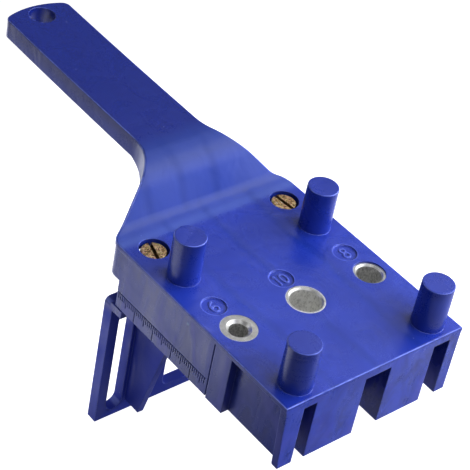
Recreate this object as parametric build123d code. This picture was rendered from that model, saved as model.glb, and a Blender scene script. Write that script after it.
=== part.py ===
from build123d import *
import math
import os

os.makedirs("parts", exist_ok=True)

# ---------------------------------------------------------------------------
# Doweling jig.  All lengths in millimetres.
# The jig is drawn square to its own guide plate first: origin at the middle
# bush on the plate's top face, X across the plate, Y towards the handle, Z out
# of the plate on the pins' side.  The finished pieces are then tilted to the
# pose in which the jig rests, on its front blocks and the foot of its fence.
# ---------------------------------------------------------------------------

# guide plate and skirt
half_w = 35.7            # half width over the plate's lip
wall_half_w = 35.5       # half width over the side walls, just inside the lip
lip_h = 1.6              # height of the lip
plate_t = 3.2
y_front = -33.1
y_rear_wall = 45.7       # rear end of the lower skirt
z_skirt = -22.7          # lower edge of the skirt
z_skirt_front = -23.2    # the same, in front of the seam
z_rear_step = -12.5      # lower edge of the skirt behind y_rear_wall
wall_t = 2.8
top_edge_r = 0.5

# stepped-in part of the side walls, near the front
step_x = 32.7
step_y0, step_y1 = -30.6, -8.4
step_wall_in = 30.0
seam_y, seam_w, seam_d = -0.6, 0.45, 0.35

# front blocks and posts
z_block = -25.4
block_back = -22.6
cross_wall_t = 2.6
block_a = (-23.4, -4.1)
block_b = (6.2, 24.3)
post_a = (-35.5, -28.4)
post_b = (31.2, 35.5)
post_a_d, post_b_d = 2.5, 6.0
post_a_foot_x, post_a_z = -33.8, -25.1   # the left post leans in towards its foot
block_t = 2.8

# guide bushes: x, y, bore diameter, outside diameter, top height, chamfer of
# the bore, chamfer of the seat in the plate
bushes = {
    "bush_6mm": (-26.3, 0.2, 6.1, 11.7, -0.05, 0.9, 0.3),
    "bush_10mm": (0.3, 0.3, 10.1, 12.6, 0.0, 0.6, 0.0),
    "bush_8mm": (27.3, 0.4, 8.1, 10.7, -0.5, 0.6, 0.3),
}
bush_bottom = -22.4
bush_chamfer = 0.4
mark_x = (-26.8, 0.0, 26.8)
boss_t = 2.5

# centring pins
pin_x = (-26.7, 27.1)
pin_y = (-26.0, 26.9)
pin_d_top, pin_d_base, pin_h = 10.3, 10.5, 15.9

# size marks beside the bushes
mark_y = 11.55
mark_d, mark_depth, mark_relief = 8.0, 0.5, 0.25
mark_rim = 0.25

# fence screws (M5 x 25, slotted cheese head) and thin nuts
screw_x, screw_y = 26.8, 41.7
head_d, head_h, head_top = 8.5, 3.3, -0.8
shank_d, shank_len = 5.0, 25.0
slot_w, slot_depth = 1.2, 1.5
slot_angle_left, slot_angle_right = 73.1, 95.0
seat_gap = 0.1
recess_d = 9.8
screw_hole_d = 5.3
screw_boss_d = 14.0
nut_af, nut_t, nut_bore_d = 8.0, 2.7, 5.1
nut_top = -25.9

# neck and handle
neck_start = 52.1        # foot of the ramp
ramp_top = (60.5, 16.0)
ramp_r = 12.0
crease_r = 5.0
grip_half_w = 12.8
corner = (35.7, 51.1)
corner_r = 5.0
waist = (12.8, 63.85)
waist_r = 20.0
grip_end_y, grip_shoulder_y = 153.8, 151.0
grip_corner_r = 3.0
grip_top_t, grip_wall_t = 2.8, 2.6
hang_d, hang_y, hang_boss_d = 9.4, 147.5, 14.4
rib_t = 2.0
rib_x = (-17.5, 0.0, 17.5)
neck_rib_x = (-20.6, -6.6, 6.6, 20.6)
rib_bottom = -17.0

# fence: an L with two gussets
f_front, f_back = 46.67, 50.75
f_top, f_shelf_bottom, f_foot = -23.0, -25.8, -75.7
f_shelf_half_w, f_shelf_front, f_ear_front = 33.0, 26.0, 42.0
f_slot_x, f_slot_w, f_slot_z0, f_slot_z1 = 28.7, 6.6, -73.0, -29.0
f_win_half_w, f_win_z0, f_win_z1, f_win_r = 8.0, -72.4, -31.0, 3.0
gusset_out, gusset_in = 24.1, 21.8
gusset = [(46.8, -70.5), (39.1, -70.5), (28.7, -25.7), (46.8, -25.7)]
fence_travel = 9.0
shelf_slot_w = 5.5

# scale along both side walls
scale_z0 = -16.8
scale_start, scale_step, scale_marks = 45.6, 0.95, 48

# resting pose
tilt_deg = math.degrees(math.atan2(-f_foot + z_block, f_front - y_front))
stand_y = 44.8055         # brings the resting outline's middle to the origin


def box(x0, x1, y0, y1, z0, z1):
    """Box from its limits."""
    return Pos((x0 + x1) / 2, (y0 + y1) / 2, (z0 + z1) / 2) * Box(
        abs(x1 - x0), abs(y1 - y0), abs(z1 - z0))


def both(shape):
    """A shape and its mirror image across the jig's middle plane."""
    return shape + mirror(shape, about=Plane.YZ)


def rod(x, y, d, z0, z1):
    return Pos(x, y, (z0 + z1) / 2) * Cylinder(d / 2, z1 - z0)


# --- plan outline of plate, neck and handle --------------------------------
def outline(inset=0.0, y_low=y_front):
    """Plan outline; inset draws the inner outline for the hollow."""
    pts = [(half_w, y_low), corner, waist, (grip_half_w, grip_shoulder_y)]
    right = Polyline(*pts)
    left = Polyline(*[(-x, y) for x, y in pts])
    end = ThreePointArc((grip_half_w, grip_shoulder_y), (0, grip_end_y),
                        (-grip_half_w, grip_shoulder_y))
    base = Line((half_w, y_low), (-half_w, y_low))
    f = make_face(right.edges() + left.edges() + end.edges() + base.edges())
    def near(px, py):
        return [v for v in f.vertices()
                if abs(abs(v.X) - px) < 0.01 and abs(v.Y - py) < 0.01]
    f = fillet(near(*corner), corner_r)
    f = fillet([v for v in f.vertices() if abs(abs(v.X) - waist[0]) < 0.01
                and abs(v.Y - waist[1]) < 0.01], waist_r)
    f = fillet([v for v in f.vertices() if abs(abs(v.X) - grip_half_w) < 0.01
                and abs(v.Y - grip_shoulder_y) < 0.01], grip_corner_r)
    if inset:
        f = offset(f, amount=-inset)
    return f


# --- side profile ----------------------------------------------------------
def grip_top(y):
    """Height of the handle's top face."""
    t = (y - ramp_top[0]) / (155.0 - ramp_top[0])
    return ramp_top[1] + 0.1 * t + 1.7 * t * t


def grip_bottom(y):
    t = (y - 75.0) / 78.0
    return 8.8 + 0.9 * t + 1.15 * t * t


ys_top = [105.0, 160.0]
top_arc = ThreePointArc(ramp_top, (105.0, grip_top(105.0)), (160.0, grip_top(160.0)))
bot_arc = ThreePointArc((160.0, grip_bottom(160.0)), (115.0, grip_bottom(115.0)),
                        (75.0, grip_bottom(75.0)))
skin = [
    Line((y_front, 0), (neck_start, 0)),
    Line((neck_start, 0), ramp_top),
    top_arc,
    Line((160.0, grip_top(160.0)), (160.0, grip_bottom(160.0))),
    bot_arc,
    Polyline((75.0, grip_bottom(75.0)), (68.0, 6.6), (51.0, z_rear_step),
             (y_rear_wall, z_rear_step), (y_rear_wall, z_skirt), (seam_y, z_skirt),
             (seam_y, z_skirt_front), (y_front, z_skirt_front), (y_front, 0)),
]
side = make_face([e for s in skin for e in s.edges()])
side = fillet([v for v in side.vertices() if abs(v.X - neck_start) < 0.01 and abs(v.Y) < 0.01], crease_r)
side = fillet([v for v in side.vertices() if abs(v.X - ramp_top[0]) < 0.01
               and abs(v.Y - ramp_top[1]) < 0.01], ramp_r)
side = fillet([v for v in side.vertices() if abs(v.X - 51.0) < 0.01
               and abs(v.Y - z_rear_step) < 0.01], 2.0)
side = fillet([v for v in side.vertices() if abs(v.X - 68.0) < 0.01
               and abs(v.Y - 6.6) < 0.01], 6.0)


def across(face, half):
    """Extrude a side profile (drawn as y, z) to both sides of the middle."""
    return extrude(Plane.YZ * face, amount=half, both=True)


def up(face, z0, z1):
    return extrude(Pos(0, 0, z0) * face, amount=z1 - z0)


shell = across(side, 60) & up(outline(), -40, 40)

# soften the upper edge all round
def on_top_rim(e):
    m = e.position_at(0.5)
    t = e.tangent_at(0.5)
    if m.Z < -0.01:
        return False
    if m.Y < neck_start - 2 and abs(m.Z) < 0.01:
        return abs(m.X) > half_w - 0.01 or abs(m.Y - y_front) < 0.01
    if abs(t.X) > 0.98:                      # creases that run across
        return m.Y > grip_shoulder_y - 1 and m.Z > 14
    z = grip_top(m.Y)
    if m.Y > 66:
        return abs(m.Z - z) < 0.3
    return m.Z > -0.01 and m.Z > (m.Y - neck_start) * 1.9 - 3.0
rim = [e for e in shell.edges() if on_top_rim(e)]
shell = fillet(rim, top_edge_r)


# --- skirt, front blocks and underside -------------------------------------
body = shell

# front: the wall between the blocks is open from below and from the front
for x0, x1 in ((post_a[1], block_a[0]), (block_a[1], block_b[0]), (block_b[1], post_b[0])):
    body -= box(x0, x1, y_front - 5, block_back, z_skirt - 5, -plate_t)

# hollow of the head, narrower where the side walls step in
body -= box(-step_x, step_x, step_y1 + wall_t, y_rear_wall - wall_t, z_skirt - 5, -plate_t)
body -= box(-step_wall_in, step_wall_in, block_back + cross_wall_t, step_y1 + wall_t + 1, z_skirt - 5, -plate_t)

# side walls: lip at the top, steps and seam grooves
beside = up(offset(outline(), amount=4.0), z_skirt - 1, -lip_h) - up(outline(half_w - wall_half_w), -40, 40)
body -= beside & box(-60, 60, 40.0, 62.0, -40, 40)
for s in (-1, 1):
    body -= box(s * wall_half_w, s * (half_w + 2), y_front - 1, 40.0, z_skirt - 1, -lip_h)
    body -= box(s * step_x, s * (half_w + 2), step_y0, step_y1, z_skirt - 1, -lip_h)
    body -= box(s * (wall_half_w - seam_d), s * (half_w + 2), seam_y - seam_w / 2,
                seam_y + seam_w / 2, z_skirt - 1, -lip_h)

# hollow of neck and handle, open from below
inner = offset(side, amount=-grip_top_t)
hollow = across(inner, 60) + across(Pos(0, -grip_top_t - 0.01) * side, 60)
hollow += across(Pos(0, -6) * side, 60)
hollow &= up(outline(grip_wall_t), -60, 60)
hollow &= box(-60, 60, y_rear_wall, 200, -40, 40)
body -= hollow

# bushes' bosses and the screws' bosses, from plate to skirt edge
envelope = box(-wall_half_w, wall_half_w, y_front, y_rear_wall, z_skirt, -plate_t + 0.5)
inside = Part()
for x, y, bore, od, top, bev, seat in bushes.values():
    inside += rod(x, y, od + 2 * boss_t, z_skirt, -plate_t + 0.5)
for s in (-1, 1):
    inside += rod(s * screw_x, screw_y, screw_boss_d, z_skirt, -plate_t + 0.5)
# ribs of the head
for x in rib_x:
    inside += box(x - rib_t / 2, x + rib_t / 2, block_back, y_rear_wall - 1, rib_bottom, -plate_t + 0.5)
for y in (0.0, 16.0, 31.0):
    inside += box(-step_x - 0.5, step_x + 0.5, y - rib_t / 2, y + rib_t / 2, rib_bottom, -plate_t + 0.5)
body += inside & envelope

# ribs under neck and handle
ribs = Part()
for x in neck_rib_x:
    ribs += box(x - rib_t / 2, x + rib_t / 2, y_rear_wall - 0.5, 152.0, -40, 40)
for y in (58.0, 72.0, 86.0, 100.0, 114.0, 128.0):
    ribs += box(-40, 40, y - rib_t / 2, y + rib_t / 2, -40, 40)
ribs += rod(0, hang_y, hang_boss_d, -40, 40)
keep = across(offset(side, amount=-0.8), 60) & up(outline(1.0), -60, 60)
body += ribs & keep

# blocks and posts
feet = Part()
for x0, x1 in (block_a, block_b):
    b = box(x0, x1, y_front, block_back, z_block, -1.0)
    b -= box(x0 + block_t, x1 - block_t, y_front + block_t, block_back, z_block - 1, -plate_t)
    feet += b
left_post = box(*post_a, y_front, y_front + post_a_d, post_a_z, -lip_h)
left_post = chamfer([e for e in left_post.edges().filter_by(Axis.X) if e.center().Z < post_a_z + 0.1
                     and e.center().Y > y_front + 1], 0.4)
feet += left_post
feet += box(*post_b, y_front, y_front + post_b_d, z_block, -lip_h)
body += feet
lean = make_face(Polyline((-38, -lip_h), (post_a[0], -lip_h), (post_a_foot_x, post_a_z),
                          (post_a_foot_x, -28), (-38, -28), close=True))
body -= Pos(0, step_y0, 0) * Rot(90, 0, 0) * extrude(lean, amount=6)
# open the blocks' own hollows up to the cross wall
for x0, x1 in (block_a, block_b):
    body -= box(x0 + block_t, x1 - block_t, y_front + block_t, block_back, z_block - 1, -plate_t)

# pins
for px in pin_x:
    for py in pin_y:
        pin = Pos(px, py, pin_h / 2) * Cone(pin_d_base / 2, pin_d_top / 2, pin_h)
        pin = fillet(pin.edges().sort_by(Axis.Z)[-1], 0.4)
        body += pin

# seats for the bushes, holes and counterbores for the screws, hanging hole
for x, y, bore, od, top, bev, seat in bushes.values():
    body -= rod(x, y, od, -40, 5)
    if seat:
        body -= Pos(x, y, 0) * Cone(od / 2 - seat, od / 2 + seat, 2 * seat)
for s in (-1, 1):
    body -= rod(s * screw_x, screw_y, recess_d, head_top - head_h - seat_gap, 5)
    body -= rod(s * screw_x, screw_y, screw_hole_d, -40, 5)
body -= rod(0, hang_y, hang_d, -5, 30)


# --- size marks: raised figures on the floor of a shallow round recess ------
def figure(text):
    w = 0.62
    if text == "6":
        ring = Pos(0, -0.95) * (Circle(1.45) - Circle(0.82))
        tail = trace(ThreePointArc((-1.14, -0.85), (-0.85, 0.95), (0.75, 2.25)), w)
        return ring + tail
    if text == "8":
        return Pos(0, -1.05) * (Circle(1.4) - Circle(0.78)) + Pos(0, 1.2) * (Circle(1.22) - Circle(0.62))
    one = Pos(-1.55, 0) * Rectangle(w, 4.4) + Pos(-1.95, 1.75) * Rot(0, 0, 40) * Rectangle(1.2, w)
    return one + Pos(0.95, 0) * (Ellipse(1.3, 2.2) - Ellipse(0.72, 1.6))


for x, text in zip(mark_x, ("6", "10", "8")):
    body -= rod(x, mark_y, mark_d, -mark_depth, 5)
    body -= Pos(x, mark_y, 0) * Cone(mark_d / 2 - mark_rim, mark_d / 2 + mark_rim, 2 * mark_rim)
    body += up(Pos(x, mark_y) * figure(text), -mark_depth - 0.05, -mark_depth + mark_relief)

# --- engraved scale on both side walls --------------------------------------
marks = []
mark_in = wall_half_w - 0.3
for i in range(scale_marks):
    y = scale_start - i * scale_step
    if y < seam_y + 1.0 or y > y_rear_wall - 0.3:
        continue
    ln = 5.6 if i % 10 == 0 else (3.6 if i % 5 == 0 else 2.1)
    for s in (-1, 1):
        marks.append(box(s * mark_in, s * 37, y - 0.18, y + 0.18, scale_z0 - ln, scale_z0))
for s in (-1, 1):
    marks.append(box(s * mark_in, s * 37, seam_y + 1.0, y_rear_wall + 1, scale_z0 - 0.02, scale_z0 + 0.33))
body = body.cut(*marks)


pieces = {"jig_body": body}

# --- guide bushes -----------------------------------------------------------
for name, (x, y, bore, od, top, bev, seat) in bushes.items():
    b = rod(x, y, od, bush_bottom, top) - rod(x, y, bore, -40, 5)
    rims = [e for e in b.edges().filter_by(GeomType.CIRCLE) if abs(e.radius - bore / 2) < 0.01]
    low_rim, top_rim = sorted(rims, key=lambda e: e.center().Z)
    b = chamfer(top_rim, bev)
    low_rim = [e for e in b.edges().filter_by(GeomType.CIRCLE) if abs(e.radius - bore / 2) < 0.01
               and e.center().Z < bush_bottom + 0.1]
    pieces[name] = chamfer(low_rim, bush_chamfer)

# --- screws and nuts ---------------------------------------------------------
for side_name, s, angle in (("left", -1, slot_angle_left), ("right", 1, slot_angle_right)):
    head = Pos(0, 0, head_top - head_h / 2) * Cylinder(head_d / 2, head_h)
    head = fillet(head.edges().sort_by(Axis.Z)[-1], 0.45)
    shank = Pos(0, 0, head_top - head_h - shank_len / 2) * Cylinder(shank_d / 2, shank_len)
    shank = chamfer(shank.edges().sort_by(Axis.Z)[0], 0.6)
    screw = head + shank
    screw -= Rot(0, 0, angle) * Pos(0, 0, head_top) * Box(12, slot_w, 2 * slot_depth)
    pieces["screw_" + side_name] = Pos(s * screw_x, screw_y, 0) * screw
    nut = extrude(RegularPolygon(nut_af / 2 / math.cos(math.pi / 6), 6, rotation=30), amount=nut_t)
    bevel = Pos(0, 0, nut_t / 2) * Cylinder(nut_af / 2 / math.cos(math.pi / 6), nut_t)
    bevel = chamfer(bevel.edges().filter_by(GeomType.CIRCLE), length=0.25, length2=0.45)
    nut = (nut & bevel) - rod(0, 0, nut_bore_d, -1, 5)
    pieces["nut_" + side_name] = Pos(s * screw_x, screw_y, nut_top - nut_t) * nut

# --- fence -------------------------------------------------------------------
fence = box(-half_w, half_w, f_front, f_back, f_foot, f_top)
fence = fillet([e for e in fence.edges().filter_by(Axis.Y) if e.center().Z > f_top - 1], 2.0)
shelf = box(-f_shelf_half_w, f_shelf_half_w, f_shelf_front, f_front + 1, f_shelf_bottom, f_top)
shelf = chamfer(shelf.edges().filter_by(Axis.Z).group_by(Axis.Y)[0], 3.0)
fence += shelf + box(-half_w, half_w, f_ear_front, f_front + 1, f_shelf_bottom, f_top)
rib = across(make_face(Polyline(*gusset, close=True)), 0.5 * (gusset_out - gusset_in))
fence += both(Pos((gusset_out + gusset_in) / 2, 0, 0) * rib)
# the ribs step in beside the nuts, and keep them from turning
lane_in = screw_x - nut_af / 2 - 0.2
lane_z = nut_top - nut_t - 2.0
rib_area = across(make_face(Polyline(*gusset, close=True)), 60)
fence -= both(box(lane_in, screw_x, 20, f_front, lane_z, f_shelf_bottom))
fence += both(box(lane_in - 2.3, lane_in, 20, f_front + 1, lane_z - 1.0, f_shelf_bottom + 0.5) & rib_area)
for s in (-1, 1):
    mid = (f_slot_z0 + f_slot_z1) / 2
    slot = extrude(SlotOverall(f_slot_z1 - f_slot_z0, f_slot_w, rotation=90), amount=10, both=True)
    fence -= Pos(s * f_slot_x, f_front, mid) * Rot(90, 0, 0) * slot
    y0 = screw_y - fence_travel - 0.3 - shelf_slot_w / 2
    y1 = screw_y + 0.3 + shelf_slot_w / 2
    sl = extrude(SlotOverall(y1 - y0, shelf_slot_w, rotation=90), amount=4, both=True)
    fence -= Pos(s * screw_x, (y0 + y1) / 2, (f_top + f_shelf_bottom) / 2) * sl
win = extrude(RectangleRounded(2 * f_win_half_w, f_win_z1 - f_win_z0, f_win_r), amount=10, both=True)
fence -= Pos(0, f_front, (f_win_z0 + f_win_z1) / 2) * Rot(90, 0, 0) * win
pieces["fence"] = fence

# --- tilt to the resting pose and write --------------------------------------
z_foot = f_front * math.sin(math.radians(tilt_deg)) + f_foot * math.cos(math.radians(tilt_deg))
place = Pos(0, -stand_y, -z_foot) * Rot(tilt_deg, 0, 0)
lo, hi = [1e9] * 3, [-1e9] * 3
for name, shape in pieces.items():
    shape = place * shape
    solids = shape.solids()
    out = solids[0] if len(solids) == 1 else Compound(solids)
    bb = out.bounding_box()
    lo = [min(a, b) for a, b in zip(lo, (bb.min.X, bb.min.Y, bb.min.Z))]
    hi = [max(a, b) for a, b in zip(hi, (bb.max.X, bb.max.Y, bb.max.Z))]
    print(name, len(solids), round(out.volume, 1), out.is_valid)
    export_step(out, "parts/" + name + ".step")
print("tilt", round(tilt_deg, 4), "foot", round(z_foot, 4))
print("low", [round(v, 3) for v in lo], "high", [round(v, 3) for v in hi])
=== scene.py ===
import bpy
import math
from mathutils import Matrix, Vector

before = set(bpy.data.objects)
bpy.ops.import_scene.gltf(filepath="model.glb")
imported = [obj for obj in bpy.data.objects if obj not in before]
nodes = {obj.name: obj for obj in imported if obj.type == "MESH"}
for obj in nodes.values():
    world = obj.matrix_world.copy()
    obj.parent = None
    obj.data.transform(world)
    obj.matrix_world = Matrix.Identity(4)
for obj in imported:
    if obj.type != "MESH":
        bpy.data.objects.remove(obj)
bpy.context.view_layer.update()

# ---------------------------------------------------------------------------
# The jig's own square frame (plate level, millimetres) inside the world:
# world = Rx(tilt) * own / 1000 + offset
# ---------------------------------------------------------------------------
TILT = math.atan2(75.7 - 25.4, 46.67 + 33.1)
C, S = math.cos(TILT), math.sin(TILT)
OFF = Vector((0.0, -44.8055, -(46.67 * S - 75.7 * C)))      # mm


def own(x, y, z):
    """A point of the jig's own frame, in world metres."""
    return (Vector((x, y * C - z * S, y * S + z * C)) + OFF) / 1000.0


def turn(v):
    """A direction of the jig's own frame, in the world."""
    return Vector((v[0], v[1] * C - v[2] * S, v[1] * S + v[2] * C))


# --- camera ------------------------------------------------------------------
R0 = turn((0.77533234, -0.61273252, 0.15303144))
R1 = turn((-0.27476379, -0.54543976, -0.79183352))
R2 = turn((0.56865158, 0.57188664, -0.59125379))
cam_data = bpy.data.cameras.new("camera")
cam = bpy.data.objects.new("camera", cam_data)
bpy.context.scene.collection.objects.link(cam)
m = Matrix((R0, -R1, -R2)).transposed().to_4x4()
m.translation = own(-294.756, -247.472, 317.356)
cam.matrix_world = m
cam_data.sensor_fit = "HORIZONTAL"
cam_data.sensor_width = 36.0
cam_data.lens = 36.0 * 1635.32 / 470.0
cam_data.shift_x = (235.0 - 212.42) / 470.0
cam_data.shift_y = (184.05 - 235.0) / 470.0
cam_data.clip_start = 0.01
cam_data.clip_end = 50.0
bpy.context.scene.camera = cam


# --- node helpers ------------------------------------------------------------
class Tree:
    """Small helper around a material's node tree."""

    def __init__(self, name):
        self.m = bpy.data.materials.new(name)
        self.m.use_nodes = True
        self.t = self.m.node_tree
        self.bsdf = next(n for n in self.t.nodes if n.type == "BSDF_PRINCIPLED")

    def add(self, kind, **props):
        n = self.t.nodes.new(kind)
        for k, v in props.items():
            setattr(n, k, v)
        return n

    def link(self, a, b):
        self.t.links.new(a, b)

    def value(self, socket, v):
        if hasattr(v, "is_output") or hasattr(v, "links"):
            self.link(v, socket)
        else:
            socket.default_value = v

    def math(self, op, a, b=0.0, c=0.0, clamp=False):
        n = self.add("ShaderNodeMath", operation=op, use_clamp=clamp)
        for i, v in enumerate((a, b, c)):
            if i < len(n.inputs):
                self.value(n.inputs[i], v)
        return n.outputs[0]

    def ramp(self, fac, stops, interp="LINEAR"):
        n = self.add("ShaderNodeValToRGB")
        n.color_ramp.interpolation = interp
        e = n.color_ramp.elements
        while len(e) > 1:
            e.remove(e[-1])
        e[0].position, e[0].color = stops[0][0], stops[0][1]
        for p, col in stops[1:]:
            x = e.new(p)
            x.color = col
        self.link(fac, n.inputs[0])
        return n.outputs[0]

    def mix(self, fac, a, b, blend="MIX"):
        n = self.add("ShaderNodeMix", data_type="RGBA", blend_type=blend)
        self.value(n.inputs[0], fac)
        self.value(n.inputs[6], a)
        self.value(n.inputs[7], b)
        return n.outputs[2]

    def own(self):
        """Coordinates in the jig's own frame, in millimetres."""
        tc = self.add("ShaderNodeTexCoord")
        mp = self.add("ShaderNodeMapping", vector_type="POINT")
        mp.inputs["Scale"].default_value = (1000, 1000, 1000)
        mp.inputs["Rotation"].default_value = (-TILT, 0, 0)
        back = Vector((-OFF.x, -(OFF.y * C + OFF.z * S), -(-OFF.y * S + OFF.z * C)))
        mp.inputs["Location"].default_value = back
        self.link(tc.outputs["Object"], mp.inputs["Vector"])
        return mp.outputs[0]

    def scaled(self, vec, scale, rot=(0, 0, 0), loc=(0, 0, 0)):
        mp = self.add("ShaderNodeMapping", vector_type="POINT")
        mp.inputs["Scale"].default_value = scale
        mp.inputs["Rotation"].default_value = rot
        mp.inputs["Location"].default_value = loc
        self.link(vec, mp.inputs["Vector"])
        return mp.outputs[0]

    def noise(self, vec, scale, detail=3.0, rough=0.5, distort=0.0):
        n = self.add("ShaderNodeTexNoise")
        self.link(vec, n.inputs["Vector"])
        n.inputs["Scale"].default_value = scale
        n.inputs["Detail"].default_value = detail
        n.inputs["Roughness"].default_value = rough
        n.inputs["Distortion"].default_value = distort
        return n.outputs[0]

    def range(self, v, a, b, c, d, smooth=True):
        n = self.add("ShaderNodeMapRange", interpolation_type="SMOOTHSTEP" if smooth else "LINEAR", clamp=True)
        self.value(n.inputs[0], v)
        for i, x in enumerate((a, b, c, d)):
            n.inputs[1 + i].default_value = x
        return n.outputs[0]

    def split(self, vec):
        n = self.add("ShaderNodeSeparateXYZ")
        self.link(vec, n.inputs[0])
        return n.outputs[0], n.outputs[1], n.outputs[2]

    def line(self, v, at, half):
        """1 on the line v = at, falling to 0 at half on either side."""
        return self.range(self.math("ABSOLUTE", self.math("SUBTRACT", v, at)), 0.0, half, 1.0, 0.0)

    def spot(self, vec, at, inner, outer):
        n = self.add("ShaderNodeVectorMath", operation="DISTANCE")
        self.link(vec, n.inputs[0])
        n.inputs[1].default_value = at
        return self.range(n.outputs["Value"], inner, outer, 1.0, 0.0)

    def bump(self, height, strength, distance, normal=None):
        n = self.add("ShaderNodeBump")
        n.inputs["Strength"].default_value = strength
        n.inputs["Distance"].default_value = distance
        self.link(height, n.inputs["Height"])
        if normal is not None:
            self.link(normal, n.inputs["Normal"])
        return n.outputs[0]


# --- studio and finish settings ----------------------------------------------
GLOW_NEAR, GLOW_RING, GLOW_SIDES, GLOW_BEHIND = 0.52, 1.78, 0.62, 1.25
TABLE = 1.05             # glow of the table itself, apart from its reflections in the jig
GLOW_DIM = 0.92          # how far the glow is dimmed in front of the camera's side
GLOW_EASE = 0.0          # and how far on the right
SOAK = 0.24              # share of the floor's glow that falls on the jig as light
WORLD = 0.01
GAMMA = 0.85
SOFTBOXES = [
    # name, azimuth, elevation, distance (m), side (m), power (W)
    ("key_low", 338, 8, 0.7, 0.5, 6.2),
    ("key_wide", 314, 10, 0.8, 1.0, 5.6),
    ("key_high", 335, 50, 0.5, 0.4, 0.52),
    ("overhead", 16, 58, 1.0, 0.9, 0.80),
    ("front", 283, 5, 0.7, 0.5, 5.6),
    ("back", 92, 16, 1.1, 1.0, 5.5),
    ("back_left", 150, 12, 1.1, 0.7, 2.6),
    ("left_high", 163, 48, 1.0, 0.42, 0.60),
    ("near_high", 228, 60, 0.9, 0.42, 0.35),
    ("near_low", 241, 24, 1.2, 0.60, 1.40),
    ("top", 120, 84, 1.0, 0.6, 0.5),
]
ROUGH_LOW, ROUGH_HIGH = 0.25, 0.33
BLUE, DARK, LIGHT = (0.018, 0.044, 0.352), (0.014, 0.036, 0.300), (0.023, 0.054, 0.395)
# shares of the painted sheen on the low walls, the painted edge highlights and the painted shade on the handle top
WALL_SHEEN, EDGE_HIGHLIGHT, HIGH_SHADE = 0.10, 0.90, 0.80


MARKS = ((-26.8, 11.55), (0.0, 11.55), (26.8, 11.55))
BUSHES = ((-26.3, 0.2, 3.05), (0.3, 0.3, 5.05), (27.3, 0.4, 4.05))
PINS = ((-26.7, -26.0), (27.1, -26.0), (-26.7, 26.9), (27.1, 26.9))
SCREWS = ((-26.8, 41.7), (26.8, 41.7))


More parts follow.
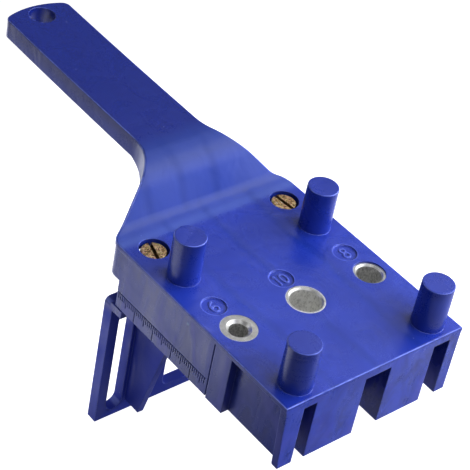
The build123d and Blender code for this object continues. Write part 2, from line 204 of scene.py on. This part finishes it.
def plastic():
    """Injection-moulded blue plastic: slightly wavy, with sink marks over its ribs, and painted light and shade: pale
    edges (painted highlights, with a little wear), a pale band at the ramp's foot, sheen patches on the walls, shade
    on the handle top.
    """
    t = Tree("blue_plastic")
    p = t.own()
    b = t.bsdf
    x, y, z = t.split(p)
    top = t.range(z, -0.30, -0.05, 0.0, 1.0)
    low = t.math("SUBTRACT", 1.0, t.range(z, -2.0, -0.6, 0.0, 1.0))

    # sink marks: broad shallow lines over the ribs beneath
    drift = t.noise(t.scaled(p, (0.05, 0.03, 0.05)), 1.0, 2.0, 0.5)
    xd = t.math("ADD", x, t.range(drift, 0.2, 0.8, -1.6, 1.6, False))
    neck = t.math("ADD", t.line(xd, -6.4, 3.0), t.math("ADD", t.line(xd, 6.8, 3.0), t.line(xd, -20.6, 3.2)))
    plate = t.math("ADD", t.line(xd, -0.6, 2.8), t.math("ADD", t.line(xd, -17.5, 2.6), t.line(xd, 17.5, 2.6)))
    on_neck = t.range(y, 50.0, 54.0, 0.0, 1.0)
    fade = t.range(y, 62.0, 78.0, 1.0, 0.25)
    sink = t.math("ADD", t.math("MULTIPLY", t.math("MULTIPLY", neck, on_neck), fade),
                  t.math("MULTIPLY", plate, t.math("SUBTRACT", 1.0, on_neck)))
    sink = t.math("MULTIPLY", sink, t.range(z, -3.0, -1.0, 0.0, 1.0))

    # soft rings that stand round bushes, pins and screws
    def nearest(points):
        best = None
        for px, py in points:
            dx, dy = t.math("SUBTRACT", x, px), t.math("SUBTRACT", y, py)
            d = t.math("SQRT", t.math("ADD", t.math("MULTIPLY", dx, dx), t.math("MULTIPLY", dy, dy)))
            best = d if best is None else t.math("MINIMUM", best, d)
        return best
    rings = t.math("ADD", t.line(nearest([c[:2] for c in BUSHES]), 8.6, 3.0), t.line(nearest(PINS + SCREWS), 7.8, 3.0))
    rings = t.math("MULTIPLY", rings, t.math("MULTIPLY", top, t.range(y, 44.0, 48.0, 1.0, 0.0)))

    cloud = t.noise(t.scaled(p, (0.045, 0.030, 0.045)), 1.0, 4.0, 0.55, 0.8)
    pool = t.noise(t.scaled(p, (0.085, 0.055, 0.085), (0, 0, 0.5)), 1.0, 2.0, 0.5, 1.6)
    wall = t.noise(t.scaled(p, (0.10, 0.15, 0.045)), 1.0, 2.0, 0.5, 0.9)
    grain = t.noise(t.scaled(p, (2.6, 2.6, 2.6)), 1.0, 3.0, 0.55)
    fine = t.noise(t.scaled(p, (9.0, 9.0, 9.0)), 1.0, 2.0, 0.5)
    scratch = t.noise(t.scaled(p, (1.3, 0.07, 1.3), (0, 0, 0.35)), 1.0, 3.0, 0.5, 0.4)
    scratch = t.math("MULTIPLY", t.range(scratch, 0.68, 0.76, 0.0, 1.0), t.range(z, -0.3, 0.0, 0.0, 1.0))

    # tiny light specks and one small moulding nib on the left wall, whose pale colour is a painted highlight
    vor = t.add("ShaderNodeTexVoronoi")
    t.link(t.scaled(p, (0.16, 0.16, 0.16)), vor.inputs["Vector"])
    vor.inputs["Scale"].default_value = 1.0
    pick = t.add("ShaderNodeSeparateColor")
    t.link(vor.outputs["Color"], pick.inputs[0])
    speck = t.math("MULTIPLY", t.range(vor.outputs["Distance"], 0.030, 0.055, 1.0, 0.0),
                   t.range(pick.outputs[0], 0.66, 0.72, 0.0, 1.0))
    nib = t.spot(p, (-35.5, 12.2, -4.0), 0.35, 0.75)
    tall = t.scaled(p, (1.0, 1.0, 0.30), (0, 0, 0))
    # painted highlights: soft pale grey patches on the left wall, for the reflections it shows
    wall_sheen_patches = None
    for sy, sz, size, amount in ((4.4, -8.0, 4.0, 0.8), (-4.8, -6.0, 2.8, 0.8), (30.0, -8.0, 7.0, 0.35), (43.5, -7.0, 2.8, 0.45)):
        one = t.math("MULTIPLY", t.spot(tall, (-35.5, sy, sz * 0.30), 0.0, size), amount)
        wall_sheen_patches = one if wall_sheen_patches is None else t.math("ADD", wall_sheen_patches, one)
    wall_sheen_patches = t.math("MULTIPLY", wall_sheen_patches, t.range(pool, 0.30, 0.65, 0.55, 1.0))
    facing = t.math("MULTIPLY", t.range(y, -32.9, -32.6, 1.0, 0.0), t.range(z, -1.2, -0.6, 1.0, 0.0))
    scuff = t.noise(t.scaled(p, (0.16, 0.16, 0.10), (0, 0.5, 0), (3, 5, 1)), 1.0, 5.0, 0.62, 0.8)
    scuff = t.math("MULTIPLY", facing, t.range(scuff, 0.38, 0.66, 0.05, 0.75))

    # painted edge highlights: paler where the rounded normal leaves the face's own, on rims and fillets
    bev = t.add("ShaderNodeBevel", samples=4)
    bev.inputs["Radius"].default_value = 0.00048
    geo = t.add("ShaderNodeNewGeometry")
    dot = t.add("ShaderNodeVectorMath", operation="DOT_PRODUCT")
    t.link(bev.outputs[0], dot.inputs[0])
    t.link(geo.outputs["Normal"], dot.inputs[1])
    edge_highlight = t.range(dot.outputs["Value"], 0.80, 0.985, 1.0, 0.0)
    faces = t.add("ShaderNodeMapping", vector_type="VECTOR")
    faces.inputs["Rotation"].default_value = (-TILT, 0, 0)
    t.link(geo.outputs["Normal"], faces.inputs["Vector"])
    nx, ny, nz = t.split(faces.outputs[0])
    flat = t.math("SQRT", t.math("ADD", t.math("MULTIPLY", nx, nx), t.math("MULTIPLY", ny, ny)))
    rim_highlight = t.range(t.math("MINIMUM", flat, t.math("ABSOLUTE", nz)), 0.28, 0.60, 0.0, 1.0)
    slope = t.math("MULTIPLY", t.range(t.math("ABSOLUTE", nx), 0.20, 0.35, 1.0, 0.0), t.range(y, 42.0, 44.0, 0.0, 1.0))
    rim_highlight = t.math("MULTIPLY", rim_highlight, t.math("SUBTRACT", 1.0, slope))
    edge_highlight = t.math("MAXIMUM", edge_highlight, rim_highlight)
    edge_highlight = t.math("MULTIPLY", edge_highlight, t.range(pool, 0.35, 0.62, 0.50, 1.0))
    # painted highlight: a pale line round each number recess's lip and paler tops on the raised digits
    lipped = t.math("MULTIPLY", t.line(nearest(MARKS), 4.05, 0.42), t.range(z, -0.6, -0.5, 0.0, 1.0))
    raised = t.math("MULTIPLY", t.range(nearest(MARKS), 3.6, 3.7, 1.0, 0.0),
                    t.math("MULTIPLY", t.range(z, -0.36, -0.28, 0.0, 1.0), t.range(z, -0.22, -0.15, 1.0, 0.0)))
    mark_highlight = t.math("MAXIMUM", t.math("MULTIPLY", lipped, 0.75), t.math("MULTIPLY", raised, 0.55))

    base = t.ramp(cloud, [(0.28, DARK + (1,)), (0.52, BLUE + (1,)), (0.78, LIGHT + (1,))])
    # painted sheen and shade: soft lighter and darker clouds on the walls and lower parts, for their cloudy
    # reflections
    patch = t.math("MULTIPLY", t.range(z, -2.0, -0.8, 1.0, 0.0), t.range(y, 62.0, 66.0, 1.0, 0.4))
    base = t.mix(t.math("MULTIPLY", patch, t.range(wall, 0.50, 0.68, 0.0, 0.65)), base, (0.085, 0.100, 0.520, 1))
    base = t.mix(t.math("MULTIPLY", patch, t.range(wall, 0.32, 0.48, 0.60, 0.0)), base, (0.010, 0.026, 0.235, 1))
    # painted light: paler blue below the body's skirt, on the fence's lower part
    base = t.mix(t.range(z, -29.0, -25.0, 0.80, 0.0), base, (0.022, 0.052, 0.520, 1))
    # painted shade: the handle top and the pin tops darker, the pins less so
    handle_top_shade = t.math("MULTIPLY", t.range(z, 10.5, 15.4, 0.0, HIGH_SHADE), t.range(y, 44.0, 58.0, 0.35, 1.0))
    base = t.mix(handle_top_shade, base, (0.006, 0.017, 0.170, 1))
    # painted light: the ramp between plate and handle is given a greener, less blue tone for the light it catches
    incline = t.math("MULTIPLY", t.range(y, 45.0, 49.0, 0.0, 1.0), t.range(y, 66.0, 76.0, 1.0, 0.0))
    incline = t.math("MULTIPLY", incline, t.range(z, -1.0, -0.2, 0.0, 1.0))
    base = t.mix(t.math("MULTIPLY", incline, 0.65), base, (0.021, 0.056, 0.290, 1))
    # painted highlight: a pale band along the concave crease at the foot of the ramp
    crease_highlight = t.math("MULTIPLY", t.line(y, 47.6, 3.6), t.range(z, -0.4, -0.1, 0.0, 0.85))
    base = t.mix(crease_highlight, base, (0.075, 0.120, 0.420, 1))
    # painted shade: darker along the sink lines
    base = t.mix(t.math("MULTIPLY", sink, t.range(y, 48.0, 54.0, 0.30, 0.50)), base, (0.005, 0.030, 0.225, 1))
    base = t.mix(t.math("MULTIPLY", scratch, 0.16), base, (0.060, 0.080, 0.420, 1))
    base = t.mix(t.math("MULTIPLY", speck, 0.50), base, (0.20, 0.24, 0.60, 1))
    # painted sheen: a greyish film over the low walls, for their grey reflection
    base = t.mix(t.math("MULTIPLY", t.math("MULTIPLY", t.math("MULTIPLY", low, t.range(z, -27.0, -24.0, 0.0, 1.0)), t.range(wall, 0.40, 0.66, 0.0, 1.0)), WALL_SHEEN), base, (0.065, 0.075, 0.300, 1))
    # painted highlight: pale lines along edges and rims
    base = t.mix(t.math("MULTIPLY", edge_highlight, EDGE_HIGHLIGHT), base, (0.190, 0.250, 0.740, 1))
    base = t.mix(mark_highlight, base, (0.120, 0.165, 0.620, 1))
    # painted highlight patches on the left wall
    base = t.mix(t.math("MINIMUM", wall_sheen_patches, 0.9), base, (0.165, 0.185, 0.500, 1))
    base = t.mix(scuff, base, (0.045, 0.085, 0.520, 1))
    # painted highlight on the nib
    base = t.mix(nib, base, (0.16, 0.26, 0.55, 1))
    t.link(base, b.inputs["Base Color"])

    rough = t.math("ADD", t.range(pool, 0.30, 0.70, ROUGH_LOW, ROUGH_HIGH), t.range(grain, 0.3, 0.7, -0.02, 0.02))
    rough = t.math("ADD", rough, t.math("MULTIPLY", scratch, 0.08))
    rough = t.math("ADD", rough, t.range(z, -28.0, -24.0, 0.26, 0.0))
    rough = t.math("ADD", rough, t.math("MULTIPLY", incline, 0.11))
    rough = t.math("ADD", rough, t.math("MULTIPLY", patch, t.range(wall, 0.35, 0.65, -0.06, 0.10)))
    t.link(rough, b.inputs["Roughness"])
    b.inputs["IOR"].default_value = 1.53

    n = t.bump(wall, 0.8, 0.00022, bev.outputs[0])
    soft = t.math("ADD", t.math("MULTIPLY", sink, -1.8), t.math("ADD", t.math("MULTIPLY", cloud, 1.2), t.math("MULTIPLY", pool, 1.6)))
    soft = t.math("ADD", soft, t.math("MULTIPLY", rings, 1.1))
    n = t.bump(soft, 0.7, 0.00007, n)
    small = t.math("ADD", t.math("MULTIPLY", grain, 0.55), t.math("MULTIPLY", fine, 0.16))
    small = t.math("ADD", small, t.math("MULTIPLY", scratch, -0.25))
    small = t.math("ADD", small, t.math("ADD", t.math("MULTIPLY", speck, 2.5), t.math("MULTIPLY", nib, 6.0)))
    n = t.bump(small, 0.30, 0.00003, n)
    t.link(n, b.inputs["Normal"])
    return t.m


def steel():
    """Turned steel bushes: grey faces with fine rings, painted highlights on rims and chamfers, dull speckled bores,
    the wide one painted paler.
    """
    t = Tree("turned_steel")
    p = t.own()
    b = t.bsdf
    x, y, z = t.split(p)
    n1 = t.noise(t.scaled(p, (0.8, 0.8, 0.25)), 1.0, 4.0, 0.6, 0.5)
    n2 = t.noise(t.scaled(p, (4.0, 4.0, 3.0)), 1.0, 3.0, 0.65)
    n3 = t.noise(t.scaled(p, (14.0, 14.0, 10.0)), 1.0, 2.0, 0.5)
    rings, bore, wide = None, None, None
    for bx, by, br in BUSHES:
        dx, dy = t.math("SUBTRACT", x, bx), t.math("SUBTRACT", y, by)
        r = t.math("SQRT", t.math("ADD", t.math("MULTIPLY", dx, dx), t.math("MULTIPLY", dy, dy)))
        rings = r if rings is None else t.math("MINIMUM", rings, r)
        inside = t.range(r, br + 0.03, br + 0.12, 1.0, 0.0)
        bore = inside if bore is None else t.math("MAXIMUM", bore, inside)
        if br > 5.0:
            wide = inside
    col = t.ramp(n1, [(0.28, (0.43, 0.43, 0.42, 1)), (0.52, (0.56, 0.56, 0.56, 1)), (0.74, (0.72, 0.72, 0.72, 1))])
    col = t.mix(t.range(n2, 0.56, 0.72, 0.0, 0.35), col, (0.33, 0.32, 0.29, 1))
    dots = t.noise(t.scaled(p, (1.5, 1.5, 0.9)), 1.0, 4.0, 0.7)
    dull = t.ramp(dots, [(0.34, (0.50, 0.50, 0.48, 1)), (0.50, (0.74, 0.74, 0.73, 1)), (0.66, (0.98, 0.98, 0.96, 1))])
    # painted light: the wide 10 mm bore paler than the narrow ones, for the light that reaches into it
    pale = t.ramp(dots, [(0.34, (0.66, 0.66, 0.64, 1)), (0.50, (0.92, 0.92, 0.90, 1)), (0.66, (1.0, 1.0, 0.98, 1))])
    dull = t.mix(wide, dull, pale)
    col = t.mix(bore, col, dull)
    bev = t.add("ShaderNodeBevel", samples=4)
    bev.inputs["Radius"].default_value = 0.00025
    geo = t.add("ShaderNodeNewGeometry")
    dot = t.add("ShaderNodeVectorMath", operation="DOT_PRODUCT")
    t.link(bev.outputs[0], dot.inputs[0])
    t.link(geo.outputs["Normal"], dot.inputs[1])
    edge_highlight = t.range(dot.outputs["Value"], 0.86, 0.99, 1.0, 0.0)
    # painted highlight: near-white rings at the bushes' rims and along their edges
    bush_rim_highlight = None
    for bx, by, rr in ((-26.3, 0.2, 6.1), (0.3, 0.3, 6.3), (27.3, 0.4, 5.35)):
        dx, dy = t.math("SUBTRACT", x, bx), t.math("SUBTRACT", y, by)
        d = t.math("SQRT", t.math("ADD", t.math("MULTIPLY", dx, dx), t.math("MULTIPLY", dy, dy)))
        one = t.line(d, rr, 0.55)
        bush_rim_highlight = one if bush_rim_highlight is None else t.math("MAXIMUM", bush_rim_highlight, one)
    # painted highlight: the chamfers, sloping between side and top, painted pale
    faces = t.add("ShaderNodeMapping", vector_type="VECTOR")
    faces.inputs["Rotation"].default_value = (-TILT, 0, 0)
    t.link(geo.outputs["Normal"], faces.inputs["Vector"])
    up = t.math("ABSOLUTE", t.split(faces.outputs[0])[2])
    chamfer_highlight = t.math("MULTIPLY", t.range(up, 0.30, 0.50, 0.0, 1.0), t.range(up, 0.82, 0.95, 1.0, 0.0))
    col = t.mix(chamfer_highlight, col, t.ramp(n2, [(0.30, (0.84, 0.84, 0.84, 1)), (0.60, (0.99, 0.99, 0.99, 1))]))
    col = t.mix(t.math("MAXIMUM", edge_highlight, t.math("MULTIPLY", bush_rim_highlight, t.range(n1, 0.3, 0.6, 0.5, 1.0))), col, (0.96, 0.96, 0.96, 1))
    t.link(col, b.inputs["Base Color"])
    b.inputs["Metallic"].default_value = 1.0
    rough = t.math("ADD", t.range(n2, 0.3, 0.7, 0.28, 0.42), t.range(n3, 0.3, 0.7, -0.03, 0.03))
    t.link(t.math("ADD", rough, t.math("MULTIPLY", bore, 0.28)), b.inputs["Roughness"])
    # turning lines: rings about each bush's own axis
    lines = t.math("SINE", t.math("MULTIPLY", t.math("ADD", rings, t.math("MULTIPLY", n1, 0.25)), 26.0))
    n = t.bump(t.math("ADD", n2, t.math("MULTIPLY", n1, 1.5)), 0.45, 0.00010, bev.outputs[0])
    n = t.bump(t.math("ADD", t.math("MULTIPLY", lines, 0.35), t.math("MULTIPLY", n3, 0.6)), 0.5, 0.00002, n)
    t.link(n, b.inputs["Normal"])
    return t.m


def zinc():
    """Yellow passivated zinc: dull gold with brown, pink and green patches and bright flecks."""
    t = Tree("yellow_zinc")
    p = t.own()
    b = t.bsdf
    x, y, z = t.split(p)
    n1 = t.noise(t.scaled(p, (0.42, 0.42, 0.42), (0, 0, 0.3), (2, 1, 0)), 1.0, 5.0, 0.62, 1.6)
    n2 = t.noise(t.scaled(p, (1.15, 1.15, 1.15)), 1.0, 5.0, 0.72, 0.8)
    n3 = t.noise(t.scaled(p, (0.85, 0.85, 0.85), (0.4, 0.2, 0.9), (7, 3, 5)), 1.0, 5.0, 0.70, 1.0)
    col = t.ramp(n1, [(0.36, (0.22, 0.08, 0.05, 1)), (0.43, (0.52, 0.32, 0.12, 1)), (0.49, (0.96, 0.84, 0.46, 1)),
                      (0.54, (0.70, 0.26, 0.24, 1)), (0.60, (0.58, 0.62, 0.22, 1)), (0.66, (0.62, 0.40, 0.20, 1))])
    col = t.mix(t.range(n2, 0.51, 0.57, 0.0, 0.85), col, (0.060, 0.034, 0.016, 1))
    col = t.mix(t.range(n3, 0.59, 0.65, 0.0, 0.90), col, (1.0, 0.96, 0.88, 1))
    # painted shade and rust: darker, browner from just under the head's top, in the slot and below
    col = t.mix(t.range(z, -2.2, -1.7, 0.75, 0.0), col, (0.045, 0.026, 0.016, 1))
    t.link(col, b.inputs["Base Color"])
    b.inputs["Metallic"].default_value = 1.0
    t.link(t.range(n2, 0.3, 0.7, 0.26, 0.58), b.inputs["Roughness"])
    bev = t.add("ShaderNodeBevel", samples=4)
    bev.inputs["Radius"].default_value = 0.00018
    n = t.bump(n2, 0.8, 0.00014, bev.outputs[0])
    n = t.bump(n3, 0.6, 0.00016, n)
    t.link(n, b.inputs["Normal"])
    return t.m


blue, bright, gold = plastic(), steel(), zinc()
for name, mat in (("jig_body", blue), ("fence", blue), ("bush_6mm", bright), ("bush_8mm", bright),
                  ("bush_10mm", bright), ("screw_left", gold), ("screw_right", gold),
                  ("nut_left", gold), ("nut_right", gold)):
    o = nodes[name]
    o.data.materials.clear()
    o.data.materials.append(mat)

# --- floor -------------------------------------------------------------------
# A pale table, lit from within towards the back as a studio sweep is.
me = bpy.data.meshes.new("floor")
me.from_pydata([(-15, -15, 0), (15, -15, 0), (15, 15, 0), (-15, 15, 0)], [], [(0, 1, 2, 3)])
floor = bpy.data.objects.new("floor", me)
bpy.context.scene.collection.objects.link(floor)
ft = Tree("pale_floor")
ft.bsdf.inputs["Base Color"].default_value = (0.42, 0.42, 0.43, 1)
ft.bsdf.inputs["Roughness"].default_value = 0.9
ft.bsdf.inputs["Specular IOR Level"].default_value = 0.1
fx, fy, fz = ft.split(ft.add("ShaderNodeTexCoord").outputs["Object"])
away = ft.math("SQRT", ft.math("ADD", ft.math("MULTIPLY", fx, fx), ft.math("MULTIPLY", fy, fy)))


def towards(azimuth):
    """Distance along the floor in one direction from the jig."""
    az = math.radians(azimuth)
    return ft.math("ADD", ft.math("MULTIPLY", fx, math.cos(az)), ft.math("MULTIPLY", fy, math.sin(az)))


behind = ft.range(ft.math("DIVIDE", towards(54), ft.math("MAXIMUM", away, 0.01)), 0.55, 0.85, GLOW_SIDES, GLOW_BEHIND)
left = ft.range(ft.math("DIVIDE", towards(140), ft.math("MAXIMUM", away, 0.01)), 0.55, 0.90, 0.0, 1.0)
far = ft.range(ft.math("ADD", away, ft.math("MULTIPLY", left, 0.16)), 0.34, 0.55, 0.0, 1.0)
ring = ft.math("ADD", ft.math("MULTIPLY", far, behind), ft.math("MULTIPLY", ft.math("SUBTRACT", 1.0, far), GLOW_RING))
near = ft.range(ft.math("ADD", away, ft.math("MULTIPLY", left, 0.06)), 0.09, 0.20, 1.0, 0.0)
glow = ft.math("ADD", ft.math("MULTIPLY", ft.math("SUBTRACT", 1.0, near), ring), ft.math("MULTIPLY", near, GLOW_NEAR))
dim = ft.range(ft.math("DIVIDE", towards(234), ft.math("MAXIMUM", away, 0.01)), 0.50, 0.88, 0.0, GLOW_DIM)
dim = ft.math("MULTIPLY", dim, ft.range(towards(234), 0.040, 0.078, 0.0, 1.0))
glow = ft.math("MULTIPLY", glow, ft.math("SUBTRACT", 1.0, dim))
right = ft.range(ft.math("DIVIDE", towards(-53), ft.math("MAXIMUM", away, 0.01)), 0.60, 0.92, 0.0, GLOW_EASE)
glow = ft.math("MULTIPLY", glow, ft.math("SUBTRACT", 1.0, right))
ft.bsdf.inputs["Emission Color"].default_value = (1, 1, 1, 1)
ray = ft.add("ShaderNodeLightPath")
shine = ray.outputs["Is Glossy Ray"]
ft.link(ft.math("ADD", ft.math("MULTIPLY", shine, glow), ft.math("MULTIPLY", ft.math("SUBTRACT", 1.0, shine), TABLE)),
        ft.bsdf.inputs["Emission Strength"])
soak = ft.add("ShaderNodeEmission")
ft.link(ft.math("MULTIPLY", glow, SOAK), soak.inputs["Strength"])
pick = ft.add("ShaderNodeMixShader")
ft.link(ray.outputs["Is Diffuse Ray"], pick.inputs[0])
ft.link(ft.bsdf.outputs[0], pick.inputs[1])
ft.link(soak.outputs[0], pick.inputs[2])
ft.link(pick.outputs[0], next(n for n in ft.t.nodes if n.type == "OUTPUT_MATERIAL").inputs["Surface"])
me.materials.append(ft.m)

# --- light -------------------------------------------------------------------
world = bpy.data.worlds.new("studio")
bpy.context.scene.world = world
world.use_nodes = True
bg = next(n for n in world.node_tree.nodes if n.type == "BACKGROUND")
bg.inputs[0].default_value = (1.0, 1.0, 1.0, 1)
bg.inputs[1].default_value = WORLD


def softbox(name, azimuth, elevation, dist, side, power, colour=(1, 1, 1)):
    """Area light round the jig, azimuth counted from +X towards +Y, aimed at its plate."""
    az, el = math.radians(azimuth), math.radians(elevation)
    v = Vector((math.cos(az) * math.cos(el), math.sin(az) * math.cos(el), math.sin(el)))
    d = bpy.data.lights.new(name, "AREA")
    d.shape = "RECTANGLE"
    d.size = d.size_y = side
    d.energy = power
    d.color = colour
    o = bpy.data.objects.new(name, d)
    bpy.context.scene.collection.objects.link(o)
    o.location = own(0, 20, 0) + v * dist
    o.rotation_euler = (-v).to_track_quat("-Z", "Y").to_euler()
    return o


for light in SOFTBOXES:
    box = softbox(*light)
    # the two strong low ones light the jig, but don't glare in its plate at low angles
    if light[0] in ("key_low", "front"):
        box.visible_glossy = False

bpy.context.scene.view_settings.view_transform = "Standard"
bpy.context.scene.view_settings.gamma = GAMMA
